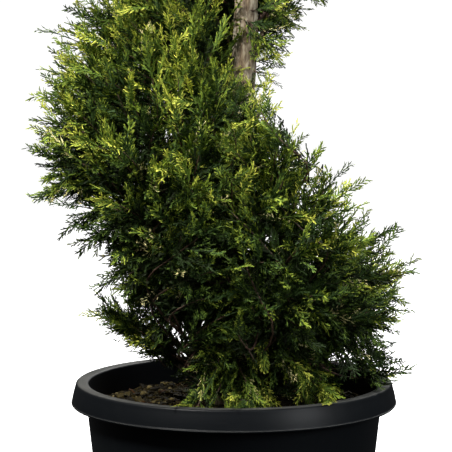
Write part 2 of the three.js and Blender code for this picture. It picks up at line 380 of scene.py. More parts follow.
def ramp_of(tree, share, *stops):
    """Colours or greys that follow a share from 0 to 1."""
    ramp = tree.nodes.new("ShaderNodeValToRGB")
    elements = ramp.color_ramp.elements
    while len(elements) < len(stops):
        elements.new(0.5)
    for element, (place, colour) in zip(elements, stops):
        element.position = place
        element.color = (*colour, 1.0) if hasattr(colour, "__len__") else (colour, colour, colour, 1.0)
    feed(tree, ramp, {"Fac": share})
    return ramp.outputs["Color"]


def worked_out(tree, operation, *values, clamp=False):
    """One step of arithmetic."""
    inputs = dict(enumerate(values))
    return output_of(tree, "ShaderNodeMath", "Value", inputs, operation=operation, use_clamp=clamp)


def blended(tree, share, first, second, blend_type="MIX"):
    inputs = {0: share, 6: first, 7: second}
    return output_of(tree, "ShaderNodeMix", 2, inputs, data_type="RGBA", blend_type=blend_type)


def range_of(tree, share, low, high):
    return output_of(tree, "ShaderNodeMapRange", "Result", {"Value": share, "To Min": low, "To Max": high})


def bump_of(tree, height, strength, distance):
    inputs = {"Height": height, "Strength": strength, "Distance": distance}
    return output_of(tree, "ShaderNodeBump", "Normal", inputs)


def plain_green(tone, colour):
    """Foliage is a plain base colour, dealt out by spray."""
    material, tree, shader = new_material("shoots_" + tone)
    feed(tree, shader, {"Base Color": (*colour, 1.0), "Roughness": 0.6, "Specular IOR Level": 0.14})
    return material


def green_materials(settings):
    found = [bpy.data.materials.get("shoots_" + tone) for tone in TONES]
    return [m or plain_green(tone, getattr(settings, tone)) for m, tone in zip(found, TONES)]


def plastic_material(settings):
    """Dark moulded plastic with clouds and specks of dust and scuffs, and paler patches in the dust colour on
    level faces that point up.
    """
    material, tree, shader = new_material("moulded_plastic")
    place = place_on_piece(tree)
    cloud = noise_at(tree, place, 9.0, 6.0, 0.62)
    specks = noise_at(tree, place, 420.0, 2.0)
    scuffs = noise_at(tree, stretched(tree, place, (6.0, 6.0, 90.0)), 5.0, 5.0, 0.7)
    dusty = ramp_of(tree, cloud, (0.52, 0.0), (0.8, 0.03))
    speckled = ramp_of(tree, specks, (0.66, 0.0), (0.74, 0.8))
    scuffed = ramp_of(tree, scuffs, (0.63, 0.0), (0.76, 0.1))
    marks = worked_out(tree, "MULTIPLY_ADD", dusty, speckled, scuffed)
    worn = worked_out(tree, "MULTIPLY_ADD", marks, 0.55, dusty, clamp=True)
    facing = output_of(tree, "ShaderNodeNewGeometry", "Normal")
    # paler, in patches, on level faces that point up
    level = ramp_of(tree, output_of(tree, "ShaderNodeSeparateXYZ", "Z", {0: facing}), (0.8, 0.0), (0.99, 1.0))
    top_patches = ramp_of(tree, cloud, (0.3, 0.25), (0.7, 0.68))
    on_top = worked_out(tree, "MULTIPLY", level, top_patches)
    share = worked_out(tree, "ADD", worn, on_top, clamp=True)
    looks = {
        "Base Color": blended(tree, share, (*settings.colour, 1.0), (*settings.dust, 1.0)),
        "Roughness": range_of(tree, share, 0.42, 0.62),
        "Specular IOR Level": 0.125,
        "Normal": bump_of(tree, specks, 0.12, 0.0006),
    }
    feed(tree, shader, looks)
    return material


def bark_material(settings):
    """Grey, weathered strips over reddish-brown inner bark, drawn out along the stem."""
    material, tree, shader = new_material("stringy_bark")
    place = stretched(tree, place_on_piece(tree), (1.0, 1.0, 0.3))
    fibre = noise_at(tree, place, 190.0, 7.0, 0.65, 0.4)
    broad = noise_at(tree, place, 52.0, 4.0, 0.6, 0.9)
    strips = ramp_of(tree, fibre, (0.3, settings.furrow), (0.44, settings.strip), (0.6, settings.weathered))
    damp, dry = (0.55, 0.45, 0.36), (1.0, 0.97, 0.94)
    patches = ramp_of(tree, broad, (0.38, damp), (0.6, dry))
    looks = {
        "Base Color": blended(tree, 1.0, strips, patches, "MULTIPLY"),
        "Roughness": range_of(tree, fibre, 0.95, 0.7),
        "Normal": bump_of(tree, fibre, 0.8, 0.0012),
    }
    feed(tree, shader, looks)
    return material


def twig_material(settings):
    """Reddish young bark with a fine grain."""
    material, tree, shader = new_material("young_twigs")
    grain = noise_at(tree, place_on_piece(tree), 300.0, 4.0)
    darker = tuple(0.45 * c for c in settings.twig)
    paler = tuple(min(1.0, 1.9 * c + 0.02) for c in settings.twig)
    colour = ramp_of(tree, grain, (0.35, darker), (0.52, settings.twig), (0.68, paler))
    feed(tree, shader, {"Base Color": colour, "Roughness": 0.7})
    return material


def mix_material(settings):
    """Crumbs of damp mix with drier fibres among them."""
    material, tree, shader = new_material("bark_mix")
    place = place_on_piece(tree)
    spots = {"Vector": place, "Scale": 230.0, "Randomness": 1.0}
    crumbs = output_of(tree, "ShaderNodeTexVoronoi", "Distance", spots)
    cloud = noise_at(tree, place, 70.0, 8.0, 0.7)
    looks = {
        "Base Color": ramp_of(tree, cloud, (0.35, settings.dark), (0.7, settings.pale)),
        "Roughness": 0.95,
        "Specular IOR Level": 0.1,
        "Normal": bump_of(tree, crumbs, 1.0, 0.003),
    }
    feed(tree, shader, looks)
    return material


def chip_material(name, colour, spread):
    """One batch of bark chips or stones: grain in two shades of its colour."""
    material, tree, shader = new_material(name)
    grain = noise_at(tree, place_on_piece(tree), 160.0, 5.0, 0.65)
    low = tuple(c * (1 - spread) for c in colour)
    high = tuple(min(1.0, c * (1 + spread)) for c in colour)
    looks = {
        "Base Color": ramp_of(tree, grain, (0.36, low), (0.66, high)),
        "Roughness": 0.88,
        "Specular IOR Level": 0.12,
        "Normal": bump_of(tree, grain, 0.5, 0.001),
    }
    feed(tree, shader, looks)
    return material


# ---------------------------------------------------------------- pot and potting mix


def arc(centre, radius, start, end, count):
    """Points of a rounding in the profile's plane, angles in degrees."""
    angles = np.radians(np.linspace(start, end, count))
    return [(centre[0] + radius * math.cos(a), centre[1] + radius * math.sin(a)) for a in angles]


def pot_profile(lip):
    """Radius and height round the pot's wall: out along the underside, up, over the rim and down inside."""
    foot, neck = RIM_RADIUS * 0.7355, RIM_RADIUS * 0.9025
    rim_top, mouth = RIM_RADIUS * 0.9735, RIM_RADIUS * 0.89
    wall = 0.005
    inside = foot - wall
    rim_low = RIM_LOW_Z
    face_height = RIM_Z - rim_low - lip
    hollow_top = RIM_Z - 0.013
    underside = [(0.0, 0.0012), (foot * 0.3, 0.0012), (foot - 0.03, 0.0012)]
    standing_ring = [(foot - 0.022, 0.0), (foot - 0.007, 0.0)]
    heel = arc((foot - 0.006, 0.006), 0.006, -90, -8, 5)
    body = [(foot + (neck - foot) * t, 0.008 + (rim_low - 0.016) * t) for t in np.linspace(0, 1, 14)]
    hollow = [
        (neck + 0.001, rim_low - 0.004),
        (neck + 0.0012, hollow_top - 0.004),
        (neck + 0.004, hollow_top),
        (RIM_RADIUS - 0.0095, hollow_top),
        (RIM_RADIUS - 0.0058, hollow_top - 0.004),
        (RIM_RADIUS - 0.0042, rim_low + 0.002),
    ]
    skirt = arc((RIM_RADIUS - 0.0028, rim_low + 0.0028), 0.0028, -90, 8, 6)
    face = []
    for t in np.linspace(0.1, 0.97, 10):
        bulge = 0.0006 * math.sin(math.pi * t)
        face.append((RIM_RADIUS + (rim_top - RIM_RADIUS) * t + bulge, rim_low + face_height * t))
    edge = arc((rim_top - lip, RIM_Z - lip), lip, 14, 90, 8)
    crown_width = rim_top - lip - mouth - 0.0035
    crown = [(rim_top - lip - crown_width * t, RIM_Z - 0.0004 * t) for t in (0.1, 0.35, 0.65, 0.9)]
    inner_edge = arc((mouth + 0.0035, RIM_Z - 0.0038), 0.0032, 90, 180, 5)
    lining = []
    for t in np.linspace(1, 0, 12):
        lining.append((inside + (mouth - 0.001 - inside) * t, wall + (RIM_Z - 0.014 - wall) * t))
    outside = underside + standing_ring + heel + body + hollow + skirt + face
    return outside + edge + crown + inner_edge + lining + [(0.0, wall)]


def build_pot(settings):
    """The pot, turned from its profile and a little out of round at the rim."""
    profile = np.array(pot_profile(settings.lip_radius))
    angle = np.linspace(0, 2 * math.pi, settings.sides, endpoint=False)
    radius, height = profile[:, 0][:, None], profile[:, 1][:, None]
    near_rim = np.clip((height - RIM_Z + 0.1) / 0.1, 0, 1)
    out_of_round = 1 + 0.0012 * near_rim * np.sin(2 * angle + 0.7)[None]
    radius = np.minimum(radius * out_of_round, RIM_RADIUS + 0.001)
    points = np.stack([radius * np.cos(angle), radius * np.sin(angle), height + 0 * angle[None]], -1)
    triangles = grid_triangles(len(profile), settings.sides)
    pot = triangle_object("pot_shell", points.reshape(-1, 3), triangles, smooth=True)
    pot.data.materials.append(plastic_material(settings))
    hand_over(pot, "pot_plastic", "pot")


def mix_height(x, y):
    """The lumpy top of the potting mix, a little raised round the trunk."""
    centre = trunk_centre(GROUND_Z)
    away = np.hypot(x - centre[0], y - centre[1])
    lumps = 0.0022 * np.sin(x * 61 + 1.3) * np.cos(y * 53) + 0.0015 * np.sin(x * 131 + y * 97)
    small = 0.0016 * value_noise(x * 190 + 60, y * 190 + 60, NOISE_COLUMNS, 3)
    return GROUND_Z - 0.0035 + lumps + small + 0.004 * np.exp(-((away / 0.05) ** 2))


def build_potting_mix(settings):
    """A lumpy disc with the flank under it, and loose chips and stones bedded in its top."""
    rng = np.random.default_rng(31)
    sides, rows = 128, 40
    angle = np.linspace(0, 2 * math.pi, sides, endpoint=False)
    radius = np.linspace(0.0, MIX_RADIUS - 0.001, rows)[:, None]
    x, y = radius * np.cos(angle), radius * np.sin(angle)
    top = np.stack([x, y, mix_height(x, y)], -1)
    flank = np.stack([x[-1] * 0.985, y[-1] * 0.985, np.full(sides, MIX_HIGH.z - 0.05)], -1)
    points = np.concatenate([top, flank[None]]).reshape(-1, 3)
    heap = Heap()
    heap.add(points, grid_triangles(rows + 1, sides)[:, ::-1], 0)
    for _ in range(settings.chips):
        points, triangles = chip_shape(rng)
        pale, weathered = rng.random() < 0.42, rng.random() < 0.12
        heap.add(points, triangles, 1 + int(pale) + 2 * int(weathered))
    for _ in range(settings.pebbles):
        points, triangles = pebble_shape(rng)
        heap.add(points, triangles, 5)
    mix = triangle_object("potting_mix_top", *heap.joined())
    mix.data.materials.append(mix_material(settings))
    mix.data.materials.append(chip_material("chips_dark", settings.chip_dark, 0.5))
    mix.data.materials.append(chip_material("chips_pale", settings.chip_pale, 0.45))
    mix.data.materials.append(chip_material("chips_red", settings.chip_red, 0.4))
    mix.data.materials.append(chip_material("chips_grey", settings.chip_grey, 0.35))
    mix.data.materials.append(chip_material("stones", settings.stone, 0.35))
    hand_over(mix, "potting_mix", "potting_mix")


def bedded(rng, height):
    """A place on the mix, away from the wall and off the trunk."""
    off_trunk, off_wall = 0.038, 0.012
    while True:
        r, a = (MIX_RADIUS - off_wall) * math.sqrt(rng.random()), 2 * math.pi * rng.random()
        if r > off_trunk:
            x, y = r * math.cos(a), r * math.sin(a)
            return np.array([x, y, float(mix_height(np.array(x), np.array(y))) + height])


BOX_FACES = np.array(
    [
        [0, 2, 1], [1, 2, 3], [4, 5, 6], [5, 7, 6], [0, 1, 4], [1, 5, 4],
        [2, 6, 3], [3, 6, 7], [0, 4, 2], [2, 4, 6], [1, 3, 5], [3, 7, 5],
    ]
)


def chip_shape(rng):
    """A broken flake of bark: a thin box with every corner off true."""
    length = 0.0026 + 0.0072 * rng.random() ** 2.4
    size = np.array([length, length * rng.uniform(0.35, 0.8), length * rng.uniform(0.12, 0.32)])
    corners = np.array([[x, y, z] for z in (-1, 1) for y in (-1, 1) for x in (-1, 1)], float)
    corners = (corners + rng.uniform(-0.38, 0.38, corners.shape)) * size / 1.6
    heading = rng.uniform(0, 2 * math.pi)
    tilt = rng.normal(0, 0.3, 2)
    along = np.array([math.cos(heading), math.sin(heading), tilt[0]])
    matrix = turned(along, np.array([tilt[1] * 0.8, -tilt[0] * 0.8, 1.0]))
    return corners @ matrix.T + bedded(rng, 0.0012 + 0.6 * size[2]), BOX_FACES


def ball_shape():
    """A ball of 80 faces: points and triangles."""
    golden = (1 + 5**0.5) / 2
    points = [p for a in (-1, 1) for b in (-golden, golden) for p in ((0, a, b), (a, b, 0), (b, 0, a))]
    points = unit(np.array(points, float))
    longest_edge = 1.06
    near = np.linalg.norm(points[:, None] - points[None], axis=-1) < longest_edge
    faces = []
    for i in range(12):
        for j in range(i + 1, 12):
            for k in range(j + 1, 12):
                if near[i, j] and near[j, k] and near[i, k]:
                    out = np.dot(np.cross(points[j] - points[i], points[k] - points[i]), points[i])
                    faces.append((i, j, k) if out > 0 else (i, k, j))
    points, fine, halves = list(points), [], {}

    def half(a, b):
        key = (min(a, b), max(a, b))
        if key not in halves:
            halves[key] = len(points)
            points.append(unit(points[a] + points[b]))
        return halves[key]

    for a, b, c in faces:
        ab, bc, ca = half(a, b), half(b, c), half(c, a)
        fine += [(a, ab, ca), (b, bc, ab), (c, ca, bc), (ab, bc, ca)]
    return np.array(points), np.array(fine)


BALL_POINTS, BALL_FACES = ball_shape()


def pebble_shape(rng):
    """A small, uneven stone that lies on its flat side."""
    length = 0.0022 + 0.0036 * rng.random() ** 1.6
    size = length * np.array([1.0, rng.uniform(0.65, 1.0), rng.uniform(0.5, 0.8)])
    lumps = 1 + 0.1 * np.sin(BALL_POINTS @ rng.normal(0, 2.4, 3) + rng.random() * 6)
    heading = rng.uniform(0, 2 * math.pi)
    matrix = turned(np.array([math.cos(heading), math.sin(heading), 0.1]), np.array([0.1, 0.0, 1.0]))
    return (BALL_POINTS * lumps[:, None] * size) @ matrix.T + bedded(rng, 0.4 * size[2] + 0.0015), BALL_FACES


# ---------------------------------------------------------------- bark


def bark_relief(angle, z, depth, seed, girth):
    """Long, interlacing strips: noise drawn out along the stem, with sharp furrows between."""
    turns = angle / (2 * math.pi)
    wander = 0.9 * value_noise(turns * 6, z * 14 + 9, 6, seed)
    total = np.zeros_like(z + angle)
    layers = ((8, 20.0, 0.45), (15, 42.0, 0.33), (30, 110.0, 0.22))  # strips round, rate along, share
    for i, (strips, rate, share) in enumerate(layers):
        count = max(4, int(strips * girth))
        noise = value_noise(turns * count + wander, z * rate + 40, count, seed + 1 + i)
        total = total + share * (1 - np.abs(2 * noise - 1)) ** 1.3
    return depth * (0.35 - total)


def build_trunk(settings):
    """The whole trunk from its flat cut on the mix to its tip, with the relief of its bark."""
    top = node_arrays("trunk")[0][:, 2].max()
    sides, rows = 72, 320
    angle = np.linspace(0, 2 * math.pi, sides, endpoint=False)[None]
    z = np.linspace(0, 1, rows)[:, None] ** 1.06 * (top - GROUND_Z) + GROUND_Z
    centre, radius = trunk_at(z[:, 0])
    flare = np.exp(-(z - GROUND_Z) / FLARE_HEIGHT)
    lobes = 1 + flare * 0.13 * np.cos(5 * angle + 0.6)
    thin = np.clip(radius[:, None] / 0.02, 0.15, 1.0)
    r = radius[:, None] * lobes + bark_relief(angle, z, settings.relief, 71, 1.0) * thin
    x, y = centre[:, 0:1] + r * np.cos(angle), centre[:, 1:2] + r * np.sin(angle)
    shell = np.stack([x, y, z + 0 * angle], -1)
    ends = np.array([[centre[0, 0], centre[0, 1], GROUND_Z], [centre[-1, 0], centre[-1, 1], top]])
    points = np.concatenate([shell.reshape(-1, 3), ends])
    around = np.arange(sides)
    after = (around + 1) % sides
    last = (rows - 1) * sides
    foot = np.stack([np.full(sides, rows * sides), after, around], -1)
    tip = np.stack([np.full(sides, rows * sides + 1), last + around, last + after], -1)
    triangles = np.concatenate([grid_triangles(rows, sides), foot, tip])
    trunk = triangle_object("trunk_bark", points, triangles, smooth=True)
    trunk.data.materials.append(bark_material(settings))
    hand_over(trunk, "bark", "trunk")


def build_boughs(settings):
    """The boughs that show, each grown on a little past its end so that it runs into the sprays."""
    rows, sides, smoothing = 90, 28, 13
    kernel = np.hanning(smoothing) / np.hanning(smoothing).sum()
    fine = np.linspace(0, 1, rows)
    angle = np.linspace(0, 2 * math.pi, sides, endpoint=False)[None]
    for seed, (node, way) in enumerate(BOUGH_WAYS.items()):
        centres, radii = centreline(node, way, 14)
        before = centres[0] - (centres[1] - centres[0]) * 1.4
        after = centres[-1] + (centres[-1] - centres[-2]) * 2.2
        centres = np.concatenate([before[None], centres, after[None]])
        radii = np.concatenate([radii[:1] * 1.05, radii, radii[-1:] * 0.75])
        known = np.linspace(0, 1, len(centres))
        line = np.stack([np.interp(fine, known, centres[:, k]) for k in range(3)], -1)
        held = smoothing // 2
        padded = np.concatenate([np.repeat(line[:1], held, 0), line, np.repeat(line[-1:], held, 0)])
        line = np.stack([np.convolve(padded[:, k], kernel, "valid") for k in range(3)], -1)
        points, triangles = tubes(line[None], np.interp(fine, known, radii)[None], sides)
        points = points.reshape(rows, sides, 3)
        length = np.cumsum(np.linalg.norm(np.gradient(line, axis=0), axis=1))[:, None]
        relief = bark_relief(angle, length, settings.relief * 0.4, 90 + 7 * seed, 0.5)
        points = points + unit(points - line[:, None]) * relief[:, :, None]
        bough = triangle_object(node + "_bark", points.reshape(-1, 3), triangles, smooth=True)
        bough.data.materials.append(bpy.data.materials.get("stringy_bark") or bark_material(settings))
        hand_over(bough, "bark", node)


# ---------------------------------------------------------------- sprays


def fingers(base, tip, across, width):
    """Blunt, twisted shoots of two faces each, narrower at the tip. Points and triangles."""
    normal = unit(np.cross(tip - base, across))
    side = unit(np.cross(normal, tip - base))
    wide = side * (0.46 * width)[:, None]
    narrow = (0.7 * side + 0.7 * normal) * (0.25 * width)[:, None]
    points = np.stack([base - wide, base + wide, tip + narrow, tip - narrow], 1)
    corners = np.array([[0, 1, 2], [0, 2, 3]])
    triangles = corners[None] + (np.arange(len(base)) * 4)[:, None, None]
    return points.reshape(-1, 3), triangles.reshape(-1, 3)


def thorns(base, tip, across, width):
    """Three-sided spikes, for the stouter shoots. Points and triangles."""
    along = unit(tip - base)
    side = unit(across - along * (across * along).sum(-1, keepdims=True))
    other = np.cross(along, side)
    thirds = (0.5, 2.594, 4.689)
    ring = [base + (side * math.cos(a) + other * math.sin(a)) * (0.5 * width)[:, None] for a in thirds]
    points = np.stack([*ring, tip], 1)
    corners = np.array([[0, 1, 3], [1, 2, 3], [2, 0, 3]])
    triangles = corners[None] + (np.arange(len(base)) * 4)[:, None, None]
    return points.reshape(-1, 3), triangles.reshape(-1, 3)


def grow_spray(rng, length, width, coarse=False):
    """One feathery spray along +X, mostly in the XY plane: an axis, shoots to either side, small shoots on
    those and a young tip on each. Points, triangles and each triangle's kind."""
    bend = rng.uniform(-0.2, 0.2)
    dip = rng.uniform(-0.2, 0.1)

    def axis(t):
        t = np.asarray(t, float)
        return np.stack([length * t * (1 - 0.04 * t), length * bend * t**2, length * dip * t**2], -1)

    heap = Heap()
    starts, ends = ([0.0], [1.0]) if coarse else ([0.0, 0.36, 0.7], [0.52, 0.84, 1.04])
    across = np.tile([0.0, 1.0, 0.3], (len(starts), 1))
    stem_width = np.array([0.9, 0.85, 0.8])[: len(starts)] * width
    points, triangles = thorns(axis(starts), axis(ends), across, stem_width)
    heap.add(points, triangles, np.repeat([TWIG, SHOOT, TIP][: len(starts)], 3))
    shoots = COARSE_SHOOTS if coarse else int(rng.integers(12, 16))
    breadth = COARSE_WIDTH if coarse else 1.0
    bases, tips, widths, kind = [], [], [], []

    def grow(root, end, share, what):
        bases.append(root)
        tips.append(end)
        widths.append(width * share)
        kind.append(what)

    for k in range(shoots):
        t = 0.06 + 0.9 * (k + rng.uniform(-0.3, 0.3)) / shoots
        side = 1 if k % 2 else -1
        root = axis(t)
        forward = unit(axis(t + 0.05) - axis(t))
        sideways = np.cross(UP, forward) * side
        spread = math.radians(rng.uniform(25, 38) - 8 * t)
        taper = 0.19 * max(0.0, 1 - t) ** 0.7 + 0.13
        reach = length * taper * rng.uniform(0.75, 1.25) * min(1.0, 0.55 + 2.5 * t)
        along = unit(forward * math.cos(spread) + sideways * math.sin(spread) + UP * rng.normal(0, 0.26))
        end = root + along * reach
        grow(root, end, rng.uniform(0.85, 1.05) * breadth, OUTER_SHOOT if t > 0.6 else SHOOT)
        if coarse:
            continue
        young_end = end + (along + UP * rng.normal(0, 0.2)) * 0.0012
        grow(root + along * reach * 0.6, young_end, rng.uniform(0.8, 0.95), TIP)
        smalls = min(3, int(reach / 0.0042 + rng.uniform(-0.4, 0.6)) - 1)
        for j in range(max(0, smalls)):
            s = (j + 0.8) / (smalls + 0.9)
            turn = side * (1 if j % 2 == 0 else -1)
            lean = math.radians(rng.uniform(22, 36))
            outward = np.cross(UP, along) * turn
            way = unit(along * math.cos(lean) + outward * math.sin(lean) + UP * rng.normal(0, 0.3))
            small = reach * rng.uniform(0.38, 0.55) * (1.15 - 0.5 * s)
            start = root + along * reach * s
            share = rng.uniform(0.72, 0.92)
            grow(start, start + way * max(small, 0.0052), share, TIP if rng.random() < 0.4 else OUTER_SHOOT)
    bases, tips, widths = np.array(bases), np.array(tips), np.array(widths)
    flat = UP + rng.normal(0, 0.4, bases.shape)
    points, triangles = fingers(bases, tips, np.cross(flat, tips - bases), widths)
    heap.add(points, triangles, np.repeat(kind, 2))
    return heap.joined()


def grow_plume(rng, settings, coarse=False, sprig=False):
    """One plume along +X: a leader that bends up, and sprays off it to all sides. Its points, triangles and
    their kinds, the spray that each one belongs to, how far along each spray sits, and the leader's line."""
    length = (settings.sprig_length if sprig else settings.plume_length) * rng.uniform(0.85, 1.15)
    rise = rng.uniform(0.05, 0.3)
    sway = rng.uniform(-0.15, 0.15)

    def leader(t):
        t = np.asarray(t, float)
        return np.stack([length * t, length * sway * t**2, length * rise * t**2], -1)

    count = 4 if sprig else 5 if coarse else 7
    heap, owner, places = Heap(), [], []
    roll = rng.uniform(0, 2 * math.pi)
    for k in range(count):
        last = k == count - 1
        t = 1.0 if last else 0.12 + 0.82 * k / (count - 1)
        roll += math.pi * rng.uniform(0.72, 1.12)
        forward = unit(leader(t) - leader(t - 0.06))
        spread = 0.06 if last else math.radians(rng.uniform(24, 44))
        size = settings.spray_length * (rng.uniform(0.82, 1.15) * (1.08 - 0.2 * t) + (0.12 if last else 0))
        size *= 1.25 if coarse else 1.0
        side = np.array([0.0, math.cos(roll), math.sin(roll)])
        along = unit(forward * math.cos(spread) + side * math.sin(spread))
        flat = unit(np.cross(side, forward) * rng.choice([-1, 1]) + rng.normal(0, 0.45, 3))
        flat = unit(np.cross(along, np.cross(flat, along)))
        points, triangles, kind = grow_spray(rng, size, settings.shoot_width, coarse)
        points = points @ turned(along, np.cross(flat, along)).T + leader(t)
        heap.add(points, triangles, kind)
        owner.append(np.full(len(triangles), k))
        places.append(t)
    points, triangles, kind = heap.joined()
    return {
        "points": points,
        "triangles": triangles,
        "kind": kind,
        "owner": np.concatenate(owner),
        "places": np.array(places),
        "leader": leader(np.linspace(0, 1.0, 5)),
    }


# ---------------------------------------------------------------- where plumes grow


def outer_faces(node):
    """A mass's triangles that face open air: not those against the trunk, and not a band's ends, where the
    next mass carries on."""
    points, triangles = node_arrays(node)
    corners = points[triangles]
    normal = np.cross(corners[:, 1] - corners[:, 0], corners[:, 2] - corners[:, 0])
    area = np.linalg.norm(normal, axis=1) / 2
    normal = unit(normal)
    centre, radius = trunk_at(corners[:, :, 2])
    offset = corners - centre
    distance = np.hypot(offset[..., 0], offset[..., 1])
    angle = np.arctan2(offset[..., 1], offset[..., 0])
    spread = np.abs((angle - angle[:, :1] + math.pi) % (2 * math.pi) - math.pi).max(1)
    keep = area > 1e-9
    if node != "foliage_low_spray":
        keep &= ~(distance < radius + 0.006).all(1)
    if node.startswith("foliage_band_"):
        keep &= ~((spread < math.radians(2.0)) & (np.abs(normal[:, 2]) < 0.3))
    return corners[keep], normal[keep], area[keep]


def scattered(rng, corners, normal, area, spacing):
    """Places spread evenly over the faces, no two nearer than the spacing."""
    tries = int(area.sum() / spacing**2 * 9) + 4
    pick = rng.choice(len(area), tries, p=area / area.sum())
    u, v = rng.random(tries), rng.random(tries)
    flip = u + v > 1
    u[flip], v[flip] = 1 - u[flip], 1 - v[flip]
    c = corners[pick]
    places = c[:, 0] + (c[:, 1] - c[:, 0]) * u[:, None] + (c[:, 2] - c[:, 0]) * v[:, None]
    kept = []
    for i in range(tries):
        if not kept or (((places[kept] - places[i]) ** 2).sum(1) > spacing**2).all():
            kept.append(i)
    return places[kept], normal[pick[kept]]


def growth_directions(rng, places, normals):
    """Shoots grow outward and up. Under the band they reach outward and hang a little."""
    centre, _ = trunk_at(places[:, 2])
    radial = unit(np.stack([places[:, 0] - centre[:, 0], places[:, 1] - centre[:, 1], 0 * places[:, 2]], -1))
    under = np.clip(-normals[:, 2:3] * 1.6, 0, 1)
    over = np.clip(normals[:, 2:3], 0, 1)
    low = np.clip((RIM_Z + 0.13 - places[:, 2:3]) / 0.1, 0, 1)
    lift = 0.7 - 0.75 * under - 0.9 * low + 0.12 * over
    way = 0.75 * normals + 0.5 * radial + UP * lift
    return unit(way + rng.normal(0, 0.2, way.shape))


def all_outer_faces():
    """A search tree of every outer face of the masses and the trunk, for measuring the room inside."""
    corners = [outer_faces(node)[0] for node in MASS_NODES]
    points, triangles = node_arrays("trunk")
    corners = np.concatenate([*corners, points[triangles]])
    flat = corners.reshape(-1, 3)
    return BVHTree.FromPolygons(flat.tolist(), np.arange(len(flat)).reshape(-1, 3).tolist())


def room_inside(tree, places, ways, longest):
    """How far one can go back into the green from each place before meeting the trunk or coming out again."""
    start_depth = 0.004
    room = np.full(len(places), longest)
    for i, (place, way) in enumerate(zip(places, ways)):
        distance = tree.ray_cast(Vector(place - way * start_depth), Vector(-way), longest)[3]
        if distance is not None:
            room[i] = distance
    return room


def in_open_corner(places, margin=0.0):
    """Where the foliage is thin enough to see through: by the trunk's foot, low on the left."""
    least, greatest, height = OPEN_CORNER
    x, z = places[:, 0], places[:, 2]
    return (x < greatest) & (x > least - margin) & (z < RIM_Z + height + margin)


def along_low_spray(rng, count):
    """Tips and directions of the plumes that follow the low bough out over the rim."""
    line, _ = centreline("foliage_low_spray", LOW_SPRAY_WAY, 14)
    share = (np.arange(count) + rng.random(count)) / count
    known = np.linspace(0, 1, len(line))
    tips = np.stack([np.interp(0.25 + 0.75 * share**0.8, known, line[:, k]) for k in range(3)], -1)
    heading = unit(line[-1] - line[0]) + [0.0, 0.0, 0.08]
    ways = unit(heading + rng.normal(0, 0.1, (count, 3)))
    return tips + [0.0, 0.0, 0.007] + rng.normal(0, 0.006, (count, 3)) * (1.15 - share[:, None]), ways


def plume_places(rng, node, settings, tree):
    """Base points, directions, outer places, normals and scales of a mass's plumes. The plumes end near the
    surface, some proud of it, and are short where the mass is thin."""
    corners, normal, area = outer_faces(node)
    spacing = settings.spacing * SPACING_SHARES.get(node, 1.0)
    places, normals = scattered(rng, corners, normal, area, spacing)
    ways = growth_directions(rng, places, normals)
    full = settings.plume_length + settings.spray_length * PLUME_TAIL
    scales = rng.uniform(0.85, 1.12, len(places))
    proud = rng.normal(0.003, 0.006, len(places)) + 0.012 * (rng.random(len(places)) < 0.1)
    proud += 0.006 * np.clip(-2 * normals[:, 2], 0, 1) - 0.007 * np.clip(normals[:, 2], 0, 1)
    if node == "foliage_low_spray":
        places, ways = along_low_spray(rng, LOW_SPRAY_PLUMES)
        normals, proud = ways.copy(), rng.normal(0.004, 0.004, len(places))
        scales = rng.uniform(0.5, 0.8, len(places))
    elif node == "foliage_tip":
        ways = unit(ways * [0.5, 0.5, 1.0] + 0.9 * UP)
        scales = np.minimum(scales, rng.uniform(0.45, 0.8, len(places)))
    else:
        room = room_inside(tree, places, ways, full * 1.2)
        scales = np.minimum(scales, np.clip(0.95 * room / full, 0.34, 1.2))
    bases = places - ways * (full * scales - proud)[:, None]
    kept = (rng.random(len(places)) > 0.5) | ~in_open_corner(places)
    return bases[kept], ways[kept], places[kept], normals[kept], scales[kept]


# ---------------------------------------------------------------- foliage


def tone_of_sprays(rng, plume, places, normals, painted_light_lift):
    """The tone each spray is dealt, with painted shade and painted light: darker inside and low down, lighter
    on the top, higher up and at the outer edge, and random tone from spray to spray.
    """
    count = len(places)
    share = plume["places"][None]
    height = np.clip((places[:, 2] - RIM_Z) / (TIP_Z - RIM_Z), 0, 1)[:, None]
    shade = np.clip((RIM_Z + 0.3 - places[:, 2]) / 0.3, 0, 1)[:, None]
    drift = np.sin(places[:, 0] * 31 + 1.7) * np.sin(places[:, 2] * 23 + places[:, 1] * 19)
    # plant: random tone, plus the lift of painted light given to sprays that hang clear
    plant = 0.22 * rng.normal(0, 1, (count, 1)) + 0.2 * drift[:, None] + painted_light_lift
    # painted top light: sprays on faces that point up are dealt lighter tones
    outward = 0.9 * np.clip(normals[:, 2:3] + 0.2, -0.5, 1)
    each = rng.normal(0, 0.22, (count, len(plume["places"])))
    # painted light and shade: lighter further out along the plume and higher up, darker low down and inside;
    # plant and each add random tone
    value = 0.26 + 1.3 * share + outward + plant - 0.75 * shade + 0.25 * height + each
    return np.clip(np.floor(value), 0, LIGHT).astype(int)


def tones_of_triangles(rng, plume, places, normals, painted_light_lift):
    """The tone of each triangle of each plume: its spray's, with young tips and outer shoots lighter, and a
    few cream tips."""
    tones = tone_of_sprays(rng, plume, places, normals, painted_light_lift)
    owner, kind = plume["owner"], plume["kind"][None]
    draw = rng.random(tones.shape)
    lift = np.where(draw < 0.34, 1, np.where(draw < 0.9, 2, 0))[:, owner]
    lifted = tones[:, owner] + np.where(kind == TIP, lift, np.where(kind == OUTER_SHOOT, lift // 2, 0))
    rare = (rng.random(tones.shape) < 0.024)[:, owner]
    return np.where(rare & (kind == TIP), CREAM, np.minimum(lifted, GOLD))


def shapes_for(rng, settings, scales):
    """A shape for each plume, with sprigs of full-sized sprays where there is only room for a short one.
    Returns the shapes' numbers and the sizes they are placed at."""
    tail = PLUME_TAIL * settings.spray_length
    short = scales < SHORTEST_PLUME
    choice = rng.integers(0, settings.templates, len(scales))
    sprig = settings.templates + rng.integers(0, settings.sprigs, len(scales))
    sprig_sizes = scales * (settings.plume_length + tail) / (settings.sprig_length + tail)
    return np.where(short, sprig, choice), np.where(short, sprig_sizes, scales)


